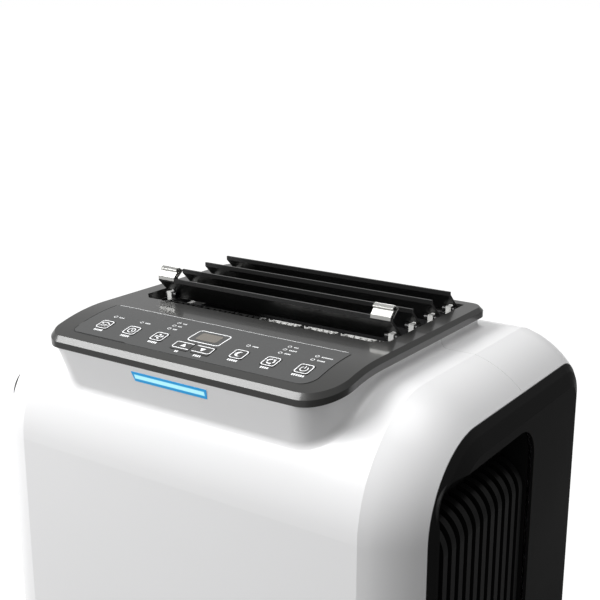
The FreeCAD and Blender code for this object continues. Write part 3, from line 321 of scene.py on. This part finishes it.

# A thin black line of painted shade, standing for the gap at the film's seat, runs down the film's
# left edge, round its corner and part way along the front.
EDGE_LINE = 0.0006
FILM_CORNER = 0.005
# Painted shade: the near-black colour of that line along the film's edge.
gap_painted_shade = plastic("gap_painted_shade", (0.006, 0.006, 0.006), 0.6, 0.0008, 0.000005, 0.03)
edge_x = film_low.x + EDGE_LINE / 2
edge_y = film_low.y + EDGE_LINE / 2
edge_path = [(edge_x, film_high.y - 0.003 - 0.0015 * k) for k in range(24)]
edge_path = [p for p in edge_path if p[1] > edge_y + FILM_CORNER]
edge_path += arc(edge_x + FILM_CORNER, edge_y + FILM_CORNER, FILM_CORNER, 180, 270, 8)
edge_path += [(edge_x + FILM_CORNER + 0.004 * k, edge_y) for k in range(1, 14)]
print_ink_and_shade("overlay_edge_painted_shade", stroke(edge_path, EDGE_LINE), on_film, "root", gap_painted_shade)

# ---- Lamps: clear posts that stand on the control board and end in the film, each in a printed
# ring. Board and lamps are one piece here, so the board, which stays hidden, shares the material.
lens = bpy.data.materials.new("lamp_lens")
lens.use_nodes = True
lens_shader = lens.node_tree.nodes["Principled BSDF"]
lens_shader.inputs["Roughness"].default_value = 0.25
lens_noise = lens.node_tree.nodes.new("ShaderNodeTexNoise")
lens_noise.inputs["Scale"].default_value = 900.0
lens_tint = lens.node_tree.nodes.new("ShaderNodeValToRGB")
lens_tint.color_ramp.elements[0].color = (0.10, 0.10, 0.10, 1)
lens_tint.color_ramp.elements[1].color = (0.16, 0.16, 0.16, 1)
lens.node_tree.links.new(lens_noise.outputs["Fac"], lens_tint.inputs["Fac"])
lens.node_tree.links.new(lens_tint.outputs["Color"], lens_shader.inputs["Base Color"])
paint(lens, "control_board")

# ---- Keys: eight soft caps moulded in the film's own grey. Each is printed with a pale frame
# and its sign, and moves half a millimetre down on a switch.
KEY_TOP = 0.00075
SIGN_LINE = 0.0007
FRAME_LINE = 0.0008
FRAME_SIZE = 0.0112
FRAME_CORNER = 0.0022
PAIR_RISE = 0.0040
PAIR_CORNER = 0.0016
PAIR_START = 0.0005
NAME_LETTER = 0.0018
NAME_HEIGHT = 0.0021
key_plastic = plastic("key_plastic", (0.050, 0.050, 0.050), 0.45, 0.0004, 0.00001, 0.02)


def key_place(node):
    """Maps 2D points to the top of a key cap, square to the slope under it."""
    low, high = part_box(node)
    x = (low.x + high.x) / 2
    y = KEY_ROWS[node]
    slope = deck_slope(y)
    out = Vector((0, -math.sin(slope), math.cos(slope)))
    back = Vector((0, math.cos(slope), math.sin(slope)))
    start = Vector((x, y, deck_height(y)))

    def place(u, v, lift=0.0):
        return start + Vector((u, 0, 0)) + back * v + out * (KEY_TOP + lift)
    return place


def arrow_head(tip, way, size):
    """Filled triangle with its tip at tip, pointing along way degrees."""
    a = math.radians(way)
    ahead = Vector((math.cos(a), math.sin(a)))
    side = Vector((-ahead.y, ahead.x))
    foot = Vector(tip) - ahead * size
    return [(tuple(tip), tuple(foot + side * size * 0.62), tuple(foot - side * size * 0.62))]


def swing_sign():
    marks = stroke(arc(-0.0005, -0.0022, 0.0052, 30, 125), SIGN_LINE)
    marks += arrow_head((-0.0046, 0.0008), 215, 0.0019)
    for k in range(3):
        x = -0.0026 + k * 0.0026
        marks += stroke([(x - 0.0012, -0.0030), (x + 0.0014, 0.0004)], SIGN_LINE)
    return marks


def timer_sign():
    marks = stroke(arc(0, 0, 0.0031, 0, 360, 24), SIGN_LINE)
    marks += stroke([(0, 0.0021), (0, 0), (0.0014, -0.0008)], SIGN_LINE * 0.9)
    return marks


def speed_sign():
    marks = disc(0, 0, 0.0007)
    for k in range(4):
        a = k * 90 + 20
        leaf = arc(0.0021 * math.cos(math.radians(a)), 0.0021 * math.sin(math.radians(a)), 0.0015,
                   a - 150, a + 40, 8)
        marks.append(tuple(leaf))
    return marks


def moon_sign():
    outer = arc(0, 0, 0.0032, 50, 310, 20)
    inner = arc(0.0016, 0, 0.0026, 290, 70, 20)
    return [(outer[k], outer[k + 1], inner[19 - k], inner[20 - k]) for k in range(20)]


def mode_sign():
    marks = []
    for k in range(3):
        a = k * 120 + 90
        marks += stroke(arc(0, 0, 0.0029, a, a + 78, 8), 0.0011)
        tip = math.radians(a + 108)
        marks += arrow_head((0.0029 * math.cos(tip), 0.0029 * math.sin(tip)), a + 188, 0.0023)
    return marks


def power_sign():
    marks = stroke(arc(0, -0.0002, 0.0029, 125, 415, 22), SIGN_LINE)
    return marks + stroke([(0, 0.0034), (0, 0.0002)], SIGN_LINE)


def up_sign():
    return [((-0.0026, -0.0014), (0.0026, -0.0014), (0.0, 0.0026))]


def down_sign():
    return [((-0.0026, 0.0016), (0.0, -0.0024), (0.0026, 0.0016))]


KEY_ROWS = {"key_swing": -0.1197, "key_timer": -0.1197, "key_speed": -0.1197, "key_up": -0.124,
            "key_down": -0.124, "key_sleep": -0.1197, "key_mode": -0.1197, "key_power": -0.1197}
SIGNS = {"key_swing": swing_sign, "key_timer": timer_sign, "key_speed": speed_sign,
         "key_up": up_sign, "key_down": down_sign, "key_sleep": moon_sign,
         "key_mode": mode_sign, "key_power": power_sign}
NAME_LETTERS = {"key_swing": 5, "key_timer": 5, "key_speed": 5, "key_up": 2, "key_down": 4,
                "key_sleep": 5, "key_mode": 4, "key_power": 6}
name_marks = []
for key, sign in SIGNS.items():
    paint(key_plastic, key)
    low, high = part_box(key)
    wide = key in ("key_up", "key_down")
    if wide:
        half = (high.x - low.x) / 2 - 0.0007
        flip = -1 if key == "key_up" else 1
        turn_x = half - PAIR_CORNER
        turn_y = PAIR_RISE - PAIR_CORNER
        bend = arc(turn_x, turn_y, PAIR_CORNER, 90, 0, 5) + arc(turn_x, -turn_y, PAIR_CORNER, 0, -90, 5)
        outline = [(-half - PAIR_START, PAIR_RISE)] + bend + [(-half - PAIR_START, -PAIR_RISE)]
        outline = [(u * flip, v) for u, v in outline]
        shift = 0.0008 * flip
        marks = stroke(outline, FRAME_LINE) + [tuple((u - shift, v) for u, v in sign()[0])]
    else:
        marks = stroke(soft_frame(FRAME_SIZE, FRAME_SIZE, FRAME_CORNER), FRAME_LINE, closed=True) + sign()
    print_ink_and_shade(key + "_print", marks, key_place(key), key, ink)
    middle = (low.x + high.x) / 2
    letters = NAME_LETTERS[key]
    offset = 0.0079 if wide else 0.0082
    width = letters * NAME_LETTER
    name_marks += name_dashes(middle - width / 2, KEY_ROWS[key] - offset, width, NAME_HEIGHT, letters)
print_ink_and_shade("key_names", name_marks, on_film, "root", ink)

# ---- Display: a smoked plastic window let into the slope over the figures, with a printed frame
# round it. The frame is drawn in short steps so that it follows the curve of the film.
smoke = plastic("smoke", (0.155, 0.14, 0.12), 0.22, 0.002, 0.000004, 0.05, coat=0.3)
paint(smoke, "display_window")
window_low, window_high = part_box("display_window")
window_x = (window_low.x + window_high.x) / 2
window_y = -0.1067
WINDOW_FRAME_LINE = 0.0009
frame_corners = soft_frame(0.0300, 0.0178, 0.0030)
window_frame = []
for start, end in zip(frame_corners, frame_corners[1:] + frame_corners[:1]):
    for k in range(8):
        u = start[0] + (end[0] - start[0]) * k / 8
        v = start[1] + (end[1] - start[1]) * k / 8
        window_frame.append((window_x + u, window_y + v))
frame_marks = stroke(window_frame, WINDOW_FRAME_LINE, closed=True)
print_ink_and_shade("display_frame", frame_marks, on_film, "root", ink)

# ---- Light bar: a frosted lens let into the podium's front, brighter in the middle and
# deep blue at its moulded rim.
BAR_X = -0.0068
bar_low, bar_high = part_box("light_bar")
BAR_HALF = (bar_high.x - bar_low.x) / 2
glow = bpy.data.materials.new("glow")
glow.use_nodes = True
tree = glow.node_tree
shader = tree.nodes["Principled BSDF"]
place = tree.nodes.new("ShaderNodeTexCoord")
parts_of_place = tree.nodes.new("ShaderNodeSeparateXYZ")
tree.links.new(place.outputs["Object"], parts_of_place.inputs["Vector"])


def past_edge(source, low, high):
    """How far past the bar's nearer edge a point is, along one axis: below 0 inside."""
    away = sums(tree, "SUBTRACT", source, (low + high) / 2)
    return sums(tree, "SUBTRACT", sums(tree, "ABSOLUTE", away, 0.0), (high - low) / 2)


across = past_edge(parts_of_place.outputs["X"], BAR_X - BAR_HALF, BAR_X + BAR_HALF)
upright = past_edge(parts_of_place.outputs["Z"], bar_low.z, bar_high.z)
nearest = sums(tree, "MAXIMUM", across, upright)
rim = fade(tree, nearest, -0.0030, -0.0020)
tint = tree.nodes.new("ShaderNodeMix")
tint.data_type = "RGBA"
tint.inputs["A"].default_value = (0.33, 0.66, 0.72, 1)
tint.inputs["B"].default_value = (0.0, 0.20, 0.44, 1)
tree.links.new(rim, tint.inputs["Factor"])
tree.links.new(tint.outputs["Result"], shader.inputs["Base Color"])
tree.links.new(tint.outputs["Result"], shader.inputs["Emission Color"])
shader.inputs["Emission Strength"].default_value = 0.75
shader.inputs["Roughness"].default_value = 0.3
paint(glow, "light_bar")

# ---- Louvres: four black blades with a turned-up lip, on pins in white acetal posts that stand
# on a rail at each side. A link bar and the swing motor's crank tilt them together.
satin_black = plastic("satin_black", (0.016, 0.016, 0.016), 0.30, 0.0007, 0.000015, 0.06, ior=1.45)
paint(satin_black, "louvre_1", "louvre_2", "louvre_3", "louvre_4", "louvre_link")
acetal = plastic("acetal", (0.80, 0.80, 0.78), 0.38, 0.001, 0.00001, 0.03)
paint(acetal, "louvre_bushes", "swing_crank")

# ---- Louvre clips: two bent strips of bright spring steel, hooked over the front blade.
def metal(name, colour, roughness, streaks):
    """Rolled or drawn metal, with fine streaks along X that show in the gloss."""
    material = bpy.data.materials.new(name)
    material.use_nodes = True
    tree = material.node_tree
    shader = tree.nodes["Principled BSDF"]
    shader.inputs["Metallic"].default_value = 1.0
    place = tree.nodes.new("ShaderNodeTexCoord")
    stretch = tree.nodes.new("ShaderNodeMapping")
    stretch.inputs["Scale"].default_value = (streaks / 20, streaks, streaks)
    tree.links.new(place.outputs["Object"], stretch.inputs["Vector"])
    grain = tree.nodes.new("ShaderNodeTexNoise")
    grain.inputs["Scale"].default_value = 1.0
    tree.links.new(stretch.outputs["Vector"], grain.inputs["Vector"])
    gloss = fade(tree, grain.outputs["Fac"], 0.0, 1.0, roughness * 0.7, roughness * 1.4)
    tree.links.new(gloss, shader.inputs["Roughness"])
    shade = tree.nodes.new("ShaderNodeMix")
    shade.data_type = "RGBA"
    shade.inputs["A"].default_value = (*[c * 0.85 for c in colour], 1)
    shade.inputs["B"].default_value = (*colour, 1)
    tree.links.new(grain.outputs["Fac"], shade.inputs["Factor"])
    tree.links.new(shade.outputs["Result"], shader.inputs["Base Color"])
    return material


spring_steel = metal("spring_steel", (0.60, 0.60, 0.58), 0.38, 300)
paint(spring_steel, "louvre_clips", "screws")

# ---- Vanes: seven upright black blades in the mouth of the duct, tied by a white toothed strip with a
# hole for a pin on each. The strip's left part is painted near black as shade, fading to white by the
# middle.
paint(satin_black, *["vane_%d" % (k + 1) for k in range(7)])
strip_white_painted_shade = plastic("strip_white_painted_shade", (0.86, 0.86, 0.84), 0.4, 0.001, 0.00001, 0.03)
strip_tree = strip_white_painted_shade.node_tree
strip_shader = strip_tree.nodes["Principled BSDF"]
strip_base = strip_shader.inputs["Base Color"].links[0].from_socket
strip_place = strip_tree.nodes.new("ShaderNodeTexCoord")
strip_parts = strip_tree.nodes.new("ShaderNodeSeparateXYZ")
strip_tree.links.new(strip_place.outputs["Object"], strip_parts.inputs["Vector"])
# Painted shade: near black over the strip's left part, fading to its white between x = -12 mm and x = 4
# mm.
strip_painted_shade_mask = fade(strip_tree, strip_parts.outputs["X"], -0.012, 0.004)
strip_shade = strip_tree.nodes.new("ShaderNodeMix")
strip_shade.data_type = "RGBA"
strip_shade.inputs["A"].default_value = (0.02, 0.02, 0.02, 1)
strip_tree.links.new(strip_painted_shade_mask, strip_shade.inputs["Factor"])
strip_tree.links.new(strip_base, strip_shade.inputs["B"])
strip_tree.links.new(strip_shade.outputs["Result"], strip_shader.inputs["Base Color"])
paint(strip_white_painted_shade, "vane_link")

# ---- Outlet duct: a matt black moulded funnel from the upper blower to the deck, dark enough
# to disappear behind the louvres.
duct_black = plastic("duct_black", (0.012, 0.012, 0.013), 0.6, 0.0015, 0.00003, 0.1)
paint(duct_black, "outlet_duct")

# ---- Side panels and intakes: satin black mouldings, each with a pocket whose upright ribs
# bend inward below the hand recess.
panel_black = plastic("panel_black", (0.014, 0.014, 0.014), 0.42, 0.0009, 0.00002, 0.05, ior=1.14)
paint(panel_black, "left_side_panel", "right_side_panel")
rib_black = plastic("rib_black", (0.010, 0.010, 0.010), 0.33, 0.0009, 0.000015, 0.05, ior=1.2)
paint(rib_black, "left_grille", "right_grille")

# ---- Rear: a screwed-on black panel with condenser slots, a filter grille that pulls out by its
# grip, and the collar that takes the exhaust hose.
rear_black = plastic("rear_black", (0.020, 0.020, 0.021), 0.45, 0.0008, 0.00003, 0.06)
paint(rear_black, "rear_panel", "filter_cassette", "exhaust_collar")

# ---- Base and casters: a tray and forks of glass-filled black nylon, with wheels of dark grey
# rubber that turn on short axles.
base_black = plastic("base_black", (0.025, 0.025, 0.027), 0.55, 0.001, 0.00004, 0.08)
paint(base_black, "base_pan")
tread = plastic("tread", (0.055, 0.055, 0.057), 0.7, 0.0006, 0.00004, 0.12)
for corner in ("front_left", "front_right", "rear_left", "rear_right"):
    paint(base_black, "caster_fork_" + corner)
    paint(tread, "caster_wheel_" + corner)

# ---- Inside: grey foam-faced blower housings, black drum wheels, coils of bare aluminium fins,
# zinc-plated motors, drawn copper pipes and a black enamelled compressor.
housing_grey = plastic("housing_grey", (0.28, 0.28, 0.29), 0.6, 0.002, 0.0001, 0.08)
paint(housing_grey, "upper_blower_housing", "lower_blower_housing", "divider_shelf")
paint(duct_black, "upper_blower_wheel", "lower_blower_wheel")
fin_stock = metal("fin_stock", (0.70, 0.72, 0.74), 0.35, 700)
paint(fin_stock, "evaporator_coil", "condenser_coil")
zinc = metal("zinc", (0.52, 0.53, 0.54), 0.38, 400)
paint(zinc, "fan_motors", "swing_motor")
copper = metal("copper", (0.78, 0.40, 0.26), 0.25, 500)
paint(copper, "refrigerant_pipes")
enamel = plastic("enamel", (0.02, 0.02, 0.022), 0.3, 0.003, 0.00005, 0.1)
paint(enamel, "compressor")
